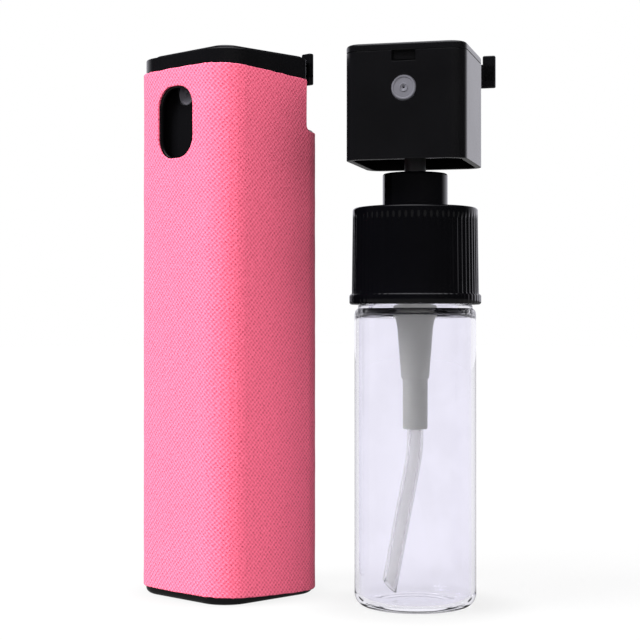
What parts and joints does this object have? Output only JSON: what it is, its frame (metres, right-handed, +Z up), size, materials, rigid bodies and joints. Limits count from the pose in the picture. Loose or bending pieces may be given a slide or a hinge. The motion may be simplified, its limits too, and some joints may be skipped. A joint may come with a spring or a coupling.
{
  "type": "lens cleaning spray",
  "caption": "Pocket lens-cleaning spray: square case covered in pink microfibre, with a pump-spray bottle that lifts out of it, and a spare spray insert beside it.",
  "frame": {"origin": "centre of the case's underside, on the surface it stands on", "axes": "+Z up along the case, -Y the way the spray leaves, +X towards the side with the head's tab"},
  "size_m": [0.0613, 0.0419, 0.1012],
  "materials": {
    "black_gloss": "gloss black moulding",
    "microfibre": "pink microfibre, fine diagonal weave",
    "clear_pet": "clear PET, faint lavender tint",
    "gasket": "soft white foam liner",
    "natural_pp": "natural translucent polypropylene",
    "black_rubber": "moulded rubber",
    "steel": "stainless",
    "clear_pe": "translucent polyethylene tube",
    "grey_black": "satin grey-black",
    "grey_nozzle": "translucent grey"
  },
  "bodies": {
    "case_body": {"case_shell": "black_gloss", "microfibre_cover": "microfibre", "base_plate": "black_gloss"},
    "bottle_body": {"bottle": "clear_pet"},
    "closure_body": {"closure": "black_gloss"},
    "pump_body": {"neck_gasket": "gasket", "pump_housing": "natural_pp", "stem_gland": "natural_pp", "stem_seal": "black_rubber", "dip_tube": "clear_pe", "return_spring": "steel"},
    "ball_body": {"inlet_ball": "steel"},
    "head_body": {"stem": "grey_black", "piston": "natural_pp", "head_shell": "black_gloss", "head_lid": "black_gloss", "nozzle": "grey_nozzle"},
    "spare_bottle_body": {"spare_bottle": "clear_pet"},
    "spare_closure_body": {"spare_closure": "black_gloss"},
    "spare_pump_body": {"spare_neck_gasket": "gasket", "spare_pump_housing": "natural_pp", "spare_stem_gland": "natural_pp", "spare_stem_seal": "black_rubber", "spare_dip_tube": "clear_pe", "spare_return_spring": "steel"},
    "spare_ball_body": {"spare_inlet_ball": "steel"},
    "spare_head_body": {"spare_stem": "grey_black", "spare_piston": "natural_pp", "spare_head_shell": "black_gloss", "spare_head_lid": "black_gloss", "spare_nozzle": "grey_nozzle"}
  },
  "joints": [
    {"name": "insert_lift", "type": "slide", "parent": "case_body", "child": "bottle_body", "axis": [0, 0, 1], "range_m": [0, 0.105]},
    {"name": "cap_turn", "type": "hinge", "parent": "pump_body", "child": "closure_body", "pos_m": [0, 0, 0.0642], "axis": [0, 0, 1], "range_deg": [0, 540]},
    {"name": "pump_rise", "type": "slide", "parent": "bottle_body", "child": "pump_body", "axis": [0, 0, 1], "range_m": [0, 0.00476]},
    {"name": "head_press", "type": "slide", "parent": "pump_body", "child": "head_body", "axis": [0, 0, -1], "range_m": [0, 0.0045], "stiffness_N_per_m": 900, "springref_m": -0.003, "deforming": ["return_spring"]},
    {"name": "ball_lift", "type": "slide", "parent": "pump_body", "child": "ball_body", "axis": [0, 0, 1], "range_m": [0, 0.0006]},
    {"name": "spare_insert_lift", "type": "slide", "parent": "case_body", "child": "spare_bottle_body", "axis": [0, 0, 1], "range_m": [0, 0.06]},
    {"name": "spare_cap_turn", "type": "hinge", "parent": "spare_pump_body", "child": "spare_closure_body", "pos_m": [0.0345, 0.0139, 0.0627], "axis": [0, 0, 1], "range_deg": [0, 540]},
    {"name": "spare_pump_rise", "type": "slide", "parent": "spare_bottle_body", "child": "spare_pump_body", "axis": [0, 0, 1], "range_m": [0, 0.00476]},
    {"name": "spare_head_press", "type": "slide", "parent": "spare_pump_body", "child": "spare_head_body", "axis": [0, 0, -1], "range_m": [0, 0.0045], "stiffness_N_per_m": 900, "springref_m": -0.003, "deforming": ["spare_return_spring"]},
    {"name": "spare_ball_lift", "type": "slide", "parent": "spare_pump_body", "child": "spare_ball_body", "axis": [0, 0, 1], "range_m": [0, 0.0006]}
  ],
  "couplings": [
    {"joint": "cap_turn", "follows": "pump_rise", "rad_per_m": 1979},
    {"joint": "spare_cap_turn", "follows": "spare_pump_rise", "rad_per_m": 1979}
  ]
}
